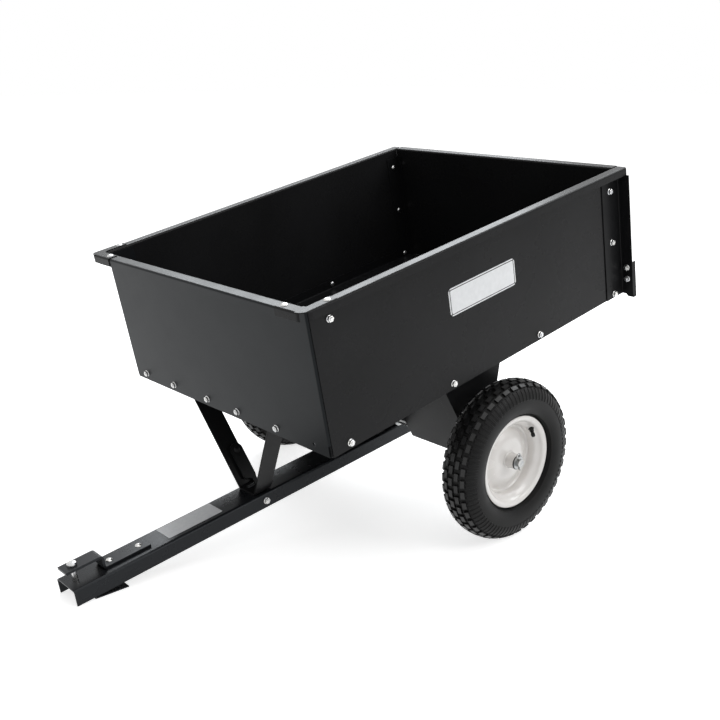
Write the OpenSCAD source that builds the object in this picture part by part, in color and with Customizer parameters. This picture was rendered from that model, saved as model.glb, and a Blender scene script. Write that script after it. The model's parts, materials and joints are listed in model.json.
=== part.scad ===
/* [Tub] */
// Width over the outer faces of the side panels
tub_w = 790; // [700:1:840]
// Length from the front panel's outer face to the rear end of the sides
tub_l = 1034; // [960:1:1100]
// Height from the floor's underside to the front panel's rim
tub_h = 342; // [300:1:400]
// Thickness of the tub's sheet
tub_t = 2; // [1.5:0.1:3]
// Distance of the axle behind the front panel's outer face
axle_setback = 495; // [480:1:510]
// Height of the floor's underside above the axle's centre
floor_lift = 235; // [225:1:260]
// Width of the flange along the rim
rim_flange = 28; // [24:1:36]
// Depth of the lip turned down along the rim
rim_lip = 20; // [12:1:22]
// Bend radius of the tub's folds, at the middle of the sheet
tub_bend = 4; // [3:0.5:6]
// Height of the floor pan's upturned edges
floor_edge = 28; // [24:1:36]
// Length of the front panel's returns along the sides
front_return = 74; // [70:1:90]
// Distance of the sides' front edges behind the front panel's face
corner_gap = 5; // [4:0.5:7]
// Length of the corner plates' arms along the rim
corner_tab = 62; // [50:1:80]
// Radius of the corner plates' outer corner
corner_round = 24; // [16:1:26]

/* [Tailgate] */
// Thickness of the tailgate's sheet
gate_t = 2; // [1.5:0.1:3]
// Distance of the tailgate's middle from the rear end of the sides
gate_inset = 16; // [14:1:20]
// Width of the flange along the tailgate's top
gate_flange = 24; // [20:1:30]
// Depth of the lip turned down along the tailgate's top flange
gate_lip = 10; // [8:1:14]
// Gap between the tailgate and each wall of its guides
gate_clear = 0.6; // [0.4:0.1:1]
// Depth of the guide legs that hold the tailgate's edges
guide_leg = 18; // [14:1:24]
// Thickness of the guides
guide_t = 2; // [1.5:0.1:3]
// Length of the guide's base ahead of the tailgate
guide_base = 42; // [38:1:46]
// Width of the post's leg on the side panel
post_w = 70; // [64:1:80]
// Width of the post's outward flange
post_flange = 35; // [30:1:40]
// Thickness of the posts
post_t = 2.5; // [2:0.1:4]
// Height of the clip at the post's foot
clip_h = 98; // [80:1:110]
// Depth of the clip's hook
clip_hook = 10; // [8:1:14]
// Drop of the clip below the floor
clip_drop = 8; // [5:1:10]

/* [Axle] */
// Diameter of the axle
axle_d = 20; // [18:0.5:24]
// Distance from the middle to the inner end of each axle bracket
bracket_in = 104; // [90:1:120]
// Length of each axle bracket at the floor
bracket_top = 212; // [180:1:240]
// Depth of the brackets below the axle
bracket_drop = 15; // [8:1:20]
// Thickness of the axle brackets
bracket_t = 3; // [2.5:0.1:4]
// Width of the bracket's flanges under the floor
bracket_flange = 28; // [24:1:36]
// Width of the end cap's flanges on the bracket's walls
cap_flange = 32; // [24:1:40]
// Length of the spacers between the brackets and the wheels
spacer_l = 44; // [38:1:50]
// Diameter of the spacers between the brackets and the wheels
spacer_d = 30; // [27:1:34]
// Diameter of the collars beside the tongue
collar_d = 34; // [32:1:40]
// Width of the collars beside the tongue
collar_w = 14; // [10:1:18]
// Thickness of the washers at the axle's ends
washer_t = 2; // [1.5:0.5:3]
// Diameter of the split pins through the axle's ends
split_d = 4; // [3:0.5:5]

/* [Wheels] */
// Diameter of the tyre
wheel_d = 400; // [390:1:410]
// Width of the tyre
tyre_w = 95; // [90:1:100]
// Distance between the middles of the wheels
track = 842; // [836:1:870]
// Diameter of the rim over its flanges
rim_d = 232; // [226:1:238]
// Diameter of the rim's bead seats
bead_d = 203; // [200:1:206]
// Width of the rim over its flanges
rim_w = 64; // [58:1:70]
// Thickness of the rim's sheet
rim_t = 2.6; // [2:0.1:3.5]
// Thickness of the tyre's wall
tyre_wall = 7; // [5:0.5:9]
// Depth of the tread
tread_depth = 5; // [3:0.5:7]
// Number of blocks in each row of the tread
tread_blocks = 42; // [36:1:48]
// Width of the slots between the blocks
tread_slot = 8; // [6:0.5:10]
// Width of the grooves between the rows of blocks
tread_groove = 5; // [4:0.5:7]
// Diameter of the hub
hub_d = 36; // [34:0.5:40]
// Length of the hub
hub_l = 68; // [64:1:80]
// Wall of the bushes in the hub
bush_wall = 3.5; // [3:0.5:5]
// Length of each bush inside the hub
bush_l = 24; // [18:1:30]
// Thickness of the bush's flange
bush_flange = 2; // [1.5:0.5:3]
// Running gap between a bush and the axle
bush_clear = 0.05; // [0.03:0.01:0.1]
// Diameter of the valve
valve_d = 11; // [10:0.5:12]
// Length of the valve outside the rim
valve_l = 26; // [20:1:32]
// Angle of the valve round the rim, from the ground up the rear
valve_turn = 135; // [0:1:359]

/* [Tongue] */
// Width of the tongue
tongue_w = 83; // [78:1:90]
// Height of the tongue
tongue_h = 38; // [36:1:46]
// Thickness of the tongue's sheet
tongue_t = 3; // [2.5:0.1:4]
// Reach of the tongue ahead of the axle
tongue_front = 973; // [940:1:1010]
// Length of the tongue behind the axle
tongue_rear = 48; // [44:1:60]
// Drop of the tongue's top below the axle's centre
tongue_drop = 17; // [16:0.5:20]
// Bend radius of the tongue, at the middle of the sheet
tongue_bend = 5.5; // [4.5:0.5:7]
// Angle between the tongue and the tub's floor
tongue_slope = 2.7; // [2.5:0.1:2.9]
// Thickness of the pivot bracket
pivot_t = 4; // [3:0.5:5]
// Width of the pivot bracket over its ears
pivot_w = 66; // [60:1:72]
// Length of the pivot bracket along the tongue
pivot_l = 84; // [76:1:92]
// Distance of the foot behind the tongue's front
foot_start = 41; // [36:1:46]
// Length of the foot on the ground
foot_l = 85; // [76:1:94]
// Height of the foot's upright inside the tongue
foot_h = 24; // [20:1:28]
// Thickness of the foot
foot_t = 3; // [2.5:0.1:4]

/* [Hitch] */
// Width of the hitch strap
hitch_w = 40; // [36:1:44]
// Thickness of the hitch strap
hitch_t = 6; // [5:0.5:8]
// Height of the jaw between the strap and the tongue
hitch_gap = 31; // [26:1:36]
// Length of the strap's raised nose
hitch_nose = 88; // [80:1:96]
// Length of the strap on the tongue
hitch_tail = 118; // [110:1:130]
// Spacing of the bolts through the strap
hitch_pitch = 75; // [68:1:80]
// Diameter of the hitch pin
pin_d = 13; // [12:0.5:15]
// Distance of the hitch pin behind the tongue's front
pin_setback = 25; // [22:1:30]
// Length of the hitch pin under its head
pin_l = 66; // [60:1:70]

/* [Stand and latch] */
// Distance of the stand's middle ahead of the axle
stand_y = 456; // [448:1:464]
// Width of the stand's strap
stand_w = 52; // [48:1:58]
// Thickness of the stand's strap
stand_t = 4; // [3:0.5:5]
// Width of the stand's base on the tongue
stand_base = 60; // [56:1:66]
// Width of the stand under the floor
stand_top = 312; // [280:1:340]
// Length of the stand's feet under the floor
stand_foot = 44; // [38:1:52]
// Bend radius of the stand, at the middle of the strap
stand_bend = 6; // [5:0.5:8]
// Width of the latch lever
lever_w = 34; // [30:1:38]
// Thickness of the latch lever
lever_t = 4; // [3:0.5:5]
// Gap between the latch lever and the stand's leg
lever_gap = 6; // [5:0.5:8]
// Height of the lever's pivot above the stand's base, along the leg
lever_rise = 88; // [80:1:95]
// Depth of the latch bolt below the tongue's top
latch_depth = 20; // [18:0.5:22]
// Diameter of the latch bolt
latch_d = 10; // [8:0.5:12]
// Width of the lever's hook
hook_w = 12; // [10:0.5:14]
// Gap between the open hook and the latch bolt
hook_clear = 1.2; // [1:0.1:2]

/* [Fasteners] */
// Diameter of the bolts
bolt_d = 8; // [6:0.5:9]
// Diameter of the bolts' round heads
head_d = 16; // [14:0.5:18]
// Height of the bolts' round heads
head_h = 4; // [3:0.5:5]
// Width of the nuts across their corners
nut_d = 15; // [13:0.5:16]
// Height of the nuts
nut_h = 6; // [5:0.5:7]
// Length of the bolt end past its nut
bolt_end = 3; // [1:0.5:5]
// Gap round a bolt in its hole
bolt_clear = 0.3; // [0.1:0.1:0.5]
// Distance of the bolts from the sides' lower edges
bolt_edge = 14; // [12:0.5:16]
// Distance of the bolts from the front's lower edge
front_bolt_edge = 19; // [16:0.5:19]

/* [Hidden] */
$fn = 64;

// Cuts run past the faces that they open by this much
overrun = 1;
// Gap between faces that run past each other
run_gap = 0.3;
// Straight pieces in each bend of a folded sheet
bend_steps = 4;
// Heights of the bolts along a post, from the floor to the rim
post_bolt_shares = [0.03, 0.445, 0.84];
// Places of the bolts along a side's lower edge, from front to rear
side_bolt_shares = [0.053, 0.362, 0.664];
// Places of the bolts along the front's lower edge, from the middle to each side
front_bolt_shares = [0.155, 0.53, 0.86];
// Height of the bolt in the front panel's return, from the floor to the rim
return_bolt_share = 0.87;
// Heights of the two bolts of a clip, from its lower end
clip_bolt_shares = [0.52, 0.84];
// Rows of blocks over the half width of the tread
tread_row_shares = [-0.6, 0, 0.6];
// Height of the end caps up the walls of the axle brackets
cap_rise_share = 0.95;
// Turn of the second row of blocks against the first, in blocks
row_stagger_share = 0.5;
// Reach of the lever's hook under the latch bolt, as a share of the bolt's diameter
hook_lip_share = 0.7;
// Height of the lever's wide part above the stand's base, as a share of its width
neck_rise_share = 0.45;
// Height of the slant below the lever's wide part, as a share of its width
neck_lean_share = 0.25;
// Diameter of the washers at the axle's ends, as a share of the axle's diameter
washer_share = 1.7;
// Length of the axle past its split pins, as a share of the pins' diameter
axle_end_share = 1.5;
// Bend radius of the thick brackets and posts, as a share of their thickness
thick_bend_share = 1.5;
// Bend radius of the hitch strap, as a share of its thickness
strap_bend_share = 1.1;
// Places of the bolts along each axle bracket, as shares of the bracket's length
bracket_bolt_shares = [0.119812, 0.880188];
// Top of a bolt's round head, as a share of the head's diameter
head_top_share = 0.7;
// Place of the bolt in the corner tab, as a share of the tab's length
corner_bolt_share = 0.75;
// Corner cut off the clip, as a share of the post's flange
clip_cut_share = 0.5;
// Distance of the pivot bracket's bolts from its ears, as a share of a nut's width
ear_bolt_share = 0.75;
// Flat on top of the pivot bracket's ears, as a share of their round end
ear_flat_share = 0.35;
// Head of the hitch pin: diameter, height and the taper at its point, in pin diameters
pin_head_shares = [1.7, 0.6, 0.3];
// Half width of the rim's well, as a share of the way to the bead seats
well_width_share = 0.5;
// Radius of the valve's neck and cap, as shares of its diameter
valve_neck_share = 0.33;
valve_cap_share = 0.42;
// Ends of the valve's foot, taper and neck along its length
valve_step_shares = [0.36, 0.46, 0.62];
// Radius of the split pin's ring, as a share of the pin's diameter
split_ring_share = 1.3;
// Radius of the well of the rim, as a share of the bead seats' radius
well_share = 0.86;
// Radius of the flat of the rim's disc, as a share of the bead seats' radius
disc_share = 0.5;
// Set of the rim's disc outwards of the rim's middle, as a share of the rim's width
disc_set_share = 0.12;

hw = tub_w / 2;
yf = -axle_setback;
yr = tub_l - axle_setback;
edge_x = hw - tub_t - tub_t / 2;
floor_top = floor_lift + tub_t;
front_top = floor_lift + tub_h;
plate_top = front_top + tub_t;
wheel_r = wheel_d / 2;
hole_d = bolt_d + 2 * bolt_clear;
tub_bolt_z = floor_lift + bolt_edge;
front_bolt_z = floor_lift + front_bolt_edge;

// The tongue's front lower edge and the tyres stand on the ground
tongue_low = tongue_drop + tongue_h;
tongue_pitch = asin(wheel_r / norm([tongue_front, tongue_low])) - atan2(tongue_low, tongue_front);
tub_pitch = tongue_pitch + tongue_slope;

gate_y = yr - gate_inset;
guide_front = gate_y - gate_t / 2 - gate_clear - guide_t;
guide_rear = gate_y + gate_t / 2 + gate_clear + guide_t;
post_bolt_y = guide_front - guide_base / 2 + guide_t;
clip_low = floor_lift - clip_drop;
clip_x = hw + post_flange;

// The part's middle along Y lies over the origin
nose_z = hitch_gap + hitch_t - tongue_drop;
front_reach = tongue_front * cos(tongue_pitch) + nose_z * sin(tongue_pitch);
rear_reach = (yr + post_t + clip_hook) * cos(tub_pitch) - clip_low * sin(tub_pitch);
axle_y = (front_reach - rear_reach) / 2;

// Straight walls of the axle brackets, and their seat round the axle
bracket_half = bracket_top / 2;
bracket_low = axle_d / 2 + bracket_t + bracket_drop;
bracket_foot = axle_d / 2;
bracket_bend = bracket_t * thick_bend_share;
bracket_path = [
    [-bracket_half, floor_lift - bracket_t / 2],
    [-bracket_foot, -bracket_low],
    [bracket_foot, -bracket_low],
    [bracket_half, floor_lift - bracket_t / 2]
];
cap_path = [
    bracket_path[1] + cap_rise_share * (bracket_path[0] - bracket_path[1]),
    bracket_path[1],
    bracket_path[2],
    bracket_path[2] + cap_rise_share * (bracket_path[3] - bracket_path[2])
];

// The stand leans on the tongue with its front edge
stand_front = -stand_y - stand_w / 2;
stand_base_z = (-tongue_drop - stand_front * sin(tongue_slope)) / cos(tongue_slope)
    + run_gap + stand_t / 2;
stand_top_z = floor_lift - stand_t / 2;
leg_run = (stand_top - stand_base) / 2;
leg_lean = atan2(leg_run, stand_top_z - stand_base_z);
stand_foot_x = stand_top / 2 - stand_foot / 2;

// The lever lies along the right leg's inner face, in the leg's own frame
lever_rear = stand_w / 2;
lever_x0 = stand_t / 2 + lever_gap;
lever_mid = lever_rear - lever_w / 2;
latch_y = -stand_y;
latch_z = -tongue_drop - latch_depth;
latch_tub_y = latch_y * cos(tongue_slope) + latch_z * sin(tongue_slope);
latch_tub_z = -latch_y * sin(tongue_slope) + latch_z * cos(tongue_slope);
hook_front = latch_tub_y + stand_y + latch_d / 2 + hook_clear;
latch_fall = (stand_base_z - latch_tub_z) / cos(leg_lean) + lever_x0 * tan(leg_lean);
hook_lip = latch_d * hook_lip_share;
hook_top = -lever_rise - latch_fall - latch_d / 2 / cos(leg_lean) - lever_t * tan(leg_lean)
    - hook_clear;
hook_end = hook_top - hook_w;
neck_end = -lever_rise + lever_w * neck_rise_share;
hook_reach = (lever_x0 + lever_t) * cos(leg_lean) - (lever_rise + hook_end) * sin(leg_lean) - stand_base / 2;

// Wheel sections, from the axle outwards
bush_d = axle_d + 2 * bush_wall;
rim_r = rim_d / 2;
bead_r = bead_d / 2;
well_r = bead_r * well_share;
disc_r = bead_r * disc_share;
disc_x = rim_w * disc_set_share;
seat_x = rim_w / 2 - 3 * rim_t;
well_x = seat_x * well_width_share;
slope_r = bead_r - rim_t / 2 - well_r;
slope_x = seat_x - well_x;
tread_r = wheel_r - tread_depth;
section_r = (wheel_r + bead_r) / 2;
hub_end = track / 2 + hub_l / 2 + bush_flange;
hub_start = track / 2 - hub_l / 2 - bush_flange;
washer_d = axle_d * washer_share;
split_x = hub_end + run_gap + washer_t + split_d / 2;
axle_end = split_x + split_d * axle_end_share;
cap_end = hub_start - run_gap - spacer_l;
bracket_out = cap_end - bracket_t;

function unit(v) = v / norm(v);
function left_of(v) = [-v[1], v[0]];
function turned(v, a) = [v[0] * cos(a) - v[1] * sin(a), v[0] * sin(a) + v[1] * cos(a)];
function flipped(list) = [for (i = [len(list) - 1 : -1 : 0]) list[i]];

// Points of one rounded corner, at an offset to the left of the path
function corner(a, b, c, r, offs) =
    let (u = unit(b - a), v = unit(c - b), way = sign(cross(u, v)), bend = acos(u * v))
    let (mid = b + unit(v - u) * r / cos(bend / 2))
    [for (k = [0 : bend_steps])
        mid + (r - way * offs) * turned(-way * left_of(u), way * bend * k / bend_steps)];

// Points along a path with rounded corners, at an offset to its left
function offset_path(path, r, offs) =
    let (last = len(path) - 1)
    [for (i = [0 : last]) each
        i == 0 ? [path[0] + offs * left_of(unit(path[1] - path[0]))] :
        i == last ? [path[last] + offs * left_of(unit(path[last] - path[last - 1]))] :
        corner(path[i - 1], path[i], path[i + 1], r, offs)];

// Section of a folded sheet between two offsets from its path
module sheet(path, r, near, far) {
    polygon(concat(offset_path(path, r, near), flipped(offset_path(path, r, far))));
}

// A section drawn in X and Z, run along Y
module along_y(y0, y1) {
    translate([0, y1, 0])
        rotate([90, 0, 0])
            linear_extrude(height = y1 - y0)
                children();
}

// A section drawn in Y and Z, run along X
module along_x(x0, x1) {
    translate([x0, 0, 0])
        rotate([90, 0, 90])
            linear_extrude(height = x1 - x0)
                children();
}

// A block between two corners
module block(a, b) {
    translate(a)
        cube(b - a);
}

// A round bar or hole along X, Y or Z
module rod_x(d, x0, x1, y = 0, z = 0) {
    translate([x0, y, z])
        rotate([0, 90, 0])
            cylinder(d = d, h = x1 - x0);
}

module rod_y(d, y0, y1, x = 0, z = 0) {
    translate([x, y0, z])
        rotate([-90, 0, 0])
            cylinder(d = d, h = y1 - y0);
}

module rod_z(d, z0, z1, x = 0, y = 0) {
    translate([x, y, z0])
        cylinder(d = d, h = z1 - z0);
}

// A round-headed bolt along Z with its nut, holding sheets of this grip
module bolt(grip, d = bolt_d) {
    translate([0, 0, -head_h])
        cylinder(d1 = head_d * head_top_share, d2 = head_d, h = head_h);
    cylinder(d = d, h = grip + nut_h + bolt_end);
    translate([0, 0, grip])
        cylinder(d = nut_d, h = nut_h, $fn = 6);
}

// Turns that point a bolt along X, along -Y or down
module point_x() { rotate([0, 90, 0]) children(); }
module point_front() { rotate([90, 0, 0]) children(); }
module point_down() { rotate([180, 0, 0]) children(); }

// Frames of the tub, the tongue and a wheel
module in_tub() { translate([0, axle_y, wheel_r]) rotate([tub_pitch, 0, 0]) children(); }
module in_tongue() { translate([0, axle_y, wheel_r]) rotate([tongue_pitch, 0, 0]) children(); }
module in_wheel() { translate([track / 2, axle_y, wheel_r]) rotate([0, 90, 0]) children(); }
module right() { mirror([1, 0, 0]) children(); }

// Frame of the valve, square on the slope between the rim's seat and its well
module at_valve() {
    rotate([0, 0, valve_turn])
        translate([well_r + slope_r / 2, 0, well_x + slope_x / 2])
            rotate([0, -atan2(slope_x, slope_r), 0])
                children();
}

// Frame of the stand's right leg at the lever's pivot: X out of the leg, Z up along it
module in_leg() {
    translate([-stand_base / 2, -stand_y, stand_base_z])
        rotate([0, -leg_lean, 0])
            translate([0, 0, lever_rise])
                children();
}

// Places of the bolts
function front_bolt_xs() = [for (s = front_bolt_shares) each [-s * hw, s * hw]];
function side_bolt_ys() = [for (s = side_bolt_shares) yf + s * tub_l];
function post_bolt_zs() = [for (s = post_bolt_shares) floor_lift + s * tub_h];
function clip_bolt_zs() = [for (s = clip_bolt_shares) clip_low + s * clip_h];
return_bolt_z = floor_lift + return_bolt_share * tub_h;
corner_bolt_x = hw - corner_tab * corner_bolt_share;
corner_bolt_y = yf - rim_flange / 2;
plate_bolt_x = hw + rim_flange / 2;
plate_bolt_y = yf + corner_tab * corner_bolt_share;
bracket_bolt_xs = [for (s = bracket_bolt_shares) bracket_in + s * (bracket_out - bracket_in)];
bracket_bolt_y = bracket_half + bracket_flange / 2;
clip_bolt_x = hw + post_t + (post_flange - post_t) / 2;

module floor_pan() {
    color("#26282b") in_tub() difference() {
        union() {
            along_y(yf + tub_t, yr)
                sheet([
                    [-edge_x, floor_lift + floor_edge],
                    [-edge_x, floor_lift + tub_t / 2],
                    [edge_x, floor_lift + tub_t / 2],
                    [edge_x, floor_lift + floor_edge]
                ], tub_bend, -tub_t / 2, tub_t / 2);
            block([-hw + 3 * tub_t, yf + tub_t, floor_lift],
                  [hw - 3 * tub_t, yf + 2 * tub_t, floor_lift + floor_edge]);
        }
        for (x = front_bolt_xs())
            rod_y(hole_d, yf, yf + 3 * tub_t, x, front_bolt_z);
        for (y = concat(side_bolt_ys(), [post_bolt_y]))
            rod_x(hole_d, -hw, hw, y, tub_bolt_z);
        for (x = bracket_bolt_xs, way = [-1, 1], y = [-1, 1])
            rod_z(hole_d, floor_lift - overrun, floor_top + overrun, way * x, y * bracket_bolt_y);
        for (way = [-1, 1])
            rod_z(hole_d, floor_lift - overrun, floor_top + overrun, way * stand_foot_x, -stand_y);
        // Room for the tailgate guides
        for (way = [-1, 1])
            translate([way * (hw - guide_leg / 2), 0, 0])
                block([-guide_leg / 2, guide_front - guide_base, floor_top],
                      [guide_leg / 2, yr + overrun, floor_lift + floor_edge + overrun]);
    }
}

module front_panel() {
    flat_x = edge_x - tub_bend;
    color("#3f4347") in_tub() difference() {
        union() {
            along_x(-flat_x, flat_x)
                tub_sheet([
                    [yf + tub_t / 2, floor_lift],
                    [yf + tub_t / 2, front_top - tub_t / 2],
                    [yf - rim_flange + tub_t / 2, front_top - tub_t / 2],
                    [yf - rim_flange + tub_t / 2, front_top - rim_lip]
                ]);
            translate([0, 0, floor_lift + floor_edge + run_gap])
                linear_extrude(height = tub_h - floor_edge - run_gap - tub_bend - tub_t)
                    tub_sheet([
                        [-edge_x, yf + front_return],
                        [-edge_x, yf + tub_t / 2],
                        [edge_x, yf + tub_t / 2],
                        [edge_x, yf + front_return]
                    ]);
        }
        for (x = front_bolt_xs())
            rod_y(hole_d, yf - overrun, yf + tub_t + overrun, x, front_bolt_z);
        rod_x(hole_d, -hw, hw, side_bolt_ys()[0], return_bolt_z);
        for (way = [-1, 1])
            translate([way * corner_bolt_x, corner_bolt_y, 0])
                rod_z(hole_d, front_top - tub_t - overrun, front_top + overrun);
    }
}

// Section of the tub's sheet along a path
module tub_sheet(path) {
    sheet(path, tub_bend, -tub_t / 2, tub_t / 2);
}

module side_panel() {
    wall_x = hw - tub_t / 2;
    rim_x = hw + rim_flange - tub_t / 2;
    rim_z = front_top - tub_t / 2;
    color("#2d2d2f") in_tub() difference() {
        along_y(yf + corner_gap, yr)
            tub_sheet([
                [wall_x, floor_lift],
                [wall_x, rim_z],
                [rim_x, rim_z],
                [rim_x, front_top - rim_lip]
            ]);
        for (y = side_bolt_ys())
            rod_x(hole_d, hw - tub_t - overrun, hw + overrun, y, tub_bolt_z);
        rod_x(hole_d, hw - tub_t - overrun, hw + overrun, side_bolt_ys()[0], return_bolt_z);
        for (z = post_bolt_zs())
            rod_x(hole_d, hw - tub_t - overrun, hw + overrun, post_bolt_y, z);
        rod_z(hole_d, front_top - tub_t - overrun, front_top + overrun, plate_bolt_x, plate_bolt_y);
    }
}

module left_side_panel() { side_panel(); }
module right_side_panel() { right() side_panel(); }

// An angled plate over the corner of the rim, lipped like the rim
module corner_plate() {
    rim_x = hw + rim_flange + tub_t / 2;
    rim_y = yf - rim_flange - tub_t / 2;
    rim_z = plate_top - tub_t / 2;
    lip_z = plate_top - rim_lip;
    round_x = rim_x + tub_t / 2 - corner_round;
    round_y = rim_y - tub_t / 2 + corner_round;
    color("#303033") in_tub() difference() {
        union() {
            along_y(rim_y - tub_t / 2, yf + corner_tab)
                tub_sheet([[hw + tub_bend, rim_z], [rim_x, rim_z], [rim_x, lip_z]]);
            along_x(hw - corner_tab, rim_x - tub_bend)
                tub_sheet([[yf - tub_bend, rim_z], [rim_y, rim_z], [rim_y, lip_z]]);
            block([hw - tub_bend, yf - tub_bend - tub_t, front_top], [hw + tub_bend + tub_t, yf, plate_top]);
        }
        rod_z(hole_d, front_top - overrun, plate_top + overrun, corner_bolt_x, corner_bolt_y);
        rod_z(hole_d, front_top - overrun, plate_top + overrun, plate_bolt_x, plate_bolt_y);
        difference() {
            block([round_x, rim_y - tub_t, lip_z - overrun], [rim_x + tub_t, round_y, plate_top + overrun]);
            rod_z(2 * corner_round, lip_z - 2 * overrun, plate_top + 2 * overrun, round_x, round_y);
        }
    }
}

module left_corner_plate() { corner_plate(); }
module right_corner_plate() { right() corner_plate(); }

module tailgate_post() {
    post_top = front_top - rim_lip - run_gap;
    color("#2a2a2c") in_tub() difference() {
        translate([0, 0, floor_lift])
            linear_extrude(height = post_top - floor_lift)
                sheet([
                    [hw + post_t / 2, yr - post_w],
                    [hw + post_t / 2, yr - post_t / 2],
                    [hw + post_flange, yr - post_t / 2]
                ], post_t * thick_bend_share, -post_t / 2, post_t / 2);
        for (z = post_bolt_zs())
            rod_x(hole_d, hw - overrun, hw + post_t + overrun, post_bolt_y, z);
        for (z = clip_bolt_zs())
            rod_y(hole_d, yr - post_t - overrun, yr + overrun, clip_bolt_x, z);
    }
}

module left_tailgate_post() { tailgate_post(); }
module right_tailgate_post() { right() tailgate_post(); }

// A plate behind the post's flange, hooked back along its outer edge
module tailgate_clip() {
    chamfer = post_flange * clip_cut_share;
    color("#242426") in_tub() difference() {
        union() {
            along_y(yr, yr + post_t)
                polygon([
                    [hw + post_t, clip_low + chamfer],
                    [hw + chamfer, clip_low],
                    [clip_x, clip_low],
                    [clip_x, clip_low + clip_h],
                    [hw + post_t, clip_low + clip_h]
                ]);
            block([clip_x - post_t, yr, clip_low], [clip_x, yr + post_t + clip_hook, clip_low + clip_h]);
        }
        for (z = clip_bolt_zs())
            rod_y(hole_d, yr - overrun, yr + post_t + overrun, clip_bolt_x, z);
    }
}

module left_tailgate_clip() { tailgate_clip(); }
module right_tailgate_clip() { right() tailgate_clip(); }

// A channel on the side's inner face for the tailgate's edge
module tailgate_guide() {
    face = hw - tub_t;
    guide_top = front_top - rim_lip - tub_bend;
    color("#1c1c1e") in_tub() difference() {
        union() {
            block([face - guide_t, guide_front - guide_base, floor_top], [face, guide_rear, guide_top]);
            for (y = [guide_front, guide_rear - guide_t])
                block([face - guide_leg, y, floor_top], [face, y + guide_t, guide_top]);
        }
        for (z = post_bolt_zs())
            rod_x(hole_d, face - guide_t - overrun, face + overrun, post_bolt_y, z);
    }
}

module left_tailgate_guide() { tailgate_guide(); }
module right_tailgate_guide() { right() tailgate_guide(); }

module tailgate_panel() {
    half = hw - tub_t - guide_t - gate_clear;
    gate_top = front_top - gate_t / 2;
    color("#303134") in_tub()
        along_x(-half, half)
            sheet([
                [gate_y, floor_top + run_gap],
                [gate_y, gate_top],
                [gate_y + gate_flange, gate_top],
                [gate_y + gate_flange, gate_top - gate_lip]
            ], gate_t * 2, -gate_t / 2, gate_t / 2);
}

// A trough of folded sheet under the floor, with the axle along its bottom
module axle_bracket() {
    flange_end = bracket_half + bracket_flange;
    flange_z = floor_lift - bracket_t / 2;
    color("#2f3032") in_tub() difference() {
        union() {
            along_x(bracket_in, bracket_out)
                sheet(concat([[-flange_end, flange_z]], bracket_path, [[flange_end, flange_z]]),
                    bracket_bend, -bracket_t / 2, bracket_t / 2);
            along_x(bracket_in, bracket_in + bracket_t)
                polygon([for (p = bracket_path) [p[0] * (1 - bracket_t / bracket_top), p[1]]]);
        }
        rod_x(axle_d + 2 * bush_clear, bracket_in - overrun, bracket_in + bracket_t + overrun);
        for (x = bracket_bolt_xs, y = [-1, 1])
            rod_z(hole_d, floor_lift - bracket_t - overrun, floor_lift + overrun, x, y * bracket_bolt_y);
    }
}

module left_axle_bracket() { axle_bracket(); }
module right_axle_bracket() { right() axle_bracket(); }

// The plate that closes the trough, with flanges lapped over its walls
module bracket_cap() {
    color("#333436") in_tub() difference() {
        union() {
            along_x(bracket_out - cap_flange, bracket_out)
                sheet(cap_path, bracket_bend, -1.5 * bracket_t, -bracket_t / 2);
            along_x(bracket_out, cap_end)
                polygon(offset_path(cap_path, bracket_bend, -1.5 * bracket_t));
        }
        rod_x(axle_d + 2 * bush_clear, bracket_out - overrun, cap_end + overrun);
    }
}

module left_bracket_cap() { bracket_cap(); }
module right_bracket_cap() { right() bracket_cap(); }

module axle() {
    color("silver") in_tub() difference() {
        rod_x(axle_d, -axle_end, axle_end);
        for (way = [-1, 1])
            rod_z(split_d + 2 * bolt_clear, -axle_d, axle_d, way * split_x);
    }
}

module axle_collars() {
    middle = pivot_w / 2 + run_gap + collar_w / 2;
    color("gainsboro") in_tub()
        for (way = [-1, 1])
            translate([way * middle, 0, 0])
                difference() {
                    rod_x(collar_d, -collar_w / 2, collar_w / 2);
                    rod_x(axle_d + 2 * bush_clear, -collar_w, collar_w);
                }
}

module axle_spacer() {
    color("silver") in_tub() difference() {
        rod_x(spacer_d, cap_end, hub_start - run_gap);
        rod_x(axle_d + 2 * bush_clear, cap_end - overrun, hub_start + overrun);
    }
}

module left_axle_spacer() { axle_spacer(); }
module right_axle_spacer() { right() axle_spacer(); }

module axle_washer() {
    color("gainsboro") in_tub() difference() {
        rod_x(washer_d, hub_end + run_gap, hub_end + run_gap + washer_t);
        rod_x(axle_d + 2 * bush_clear, hub_end, hub_end + run_gap + washer_t + overrun);
    }
}

module left_axle_washer() { axle_washer(); }
module right_axle_washer() { right() axle_washer(); }

// A split pin through the axle's end, with its ring above
module split_pin() {
    ring_r = split_d * split_ring_share;
    color("silver") in_tub() translate([split_x, 0, 0]) {
        rod_z(split_d, -axle_d, axle_d / 2 + split_d);
        translate([0, 0, axle_d / 2 + ring_r + split_d])
            rotate([0, 90, 0])
                rotate_extrude()
                    translate([ring_r, 0])
                        circle(d = split_d, $fn = 24);
    }
}

module left_split_pin() { split_pin(); }
module right_split_pin() { right() split_pin(); }

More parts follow.
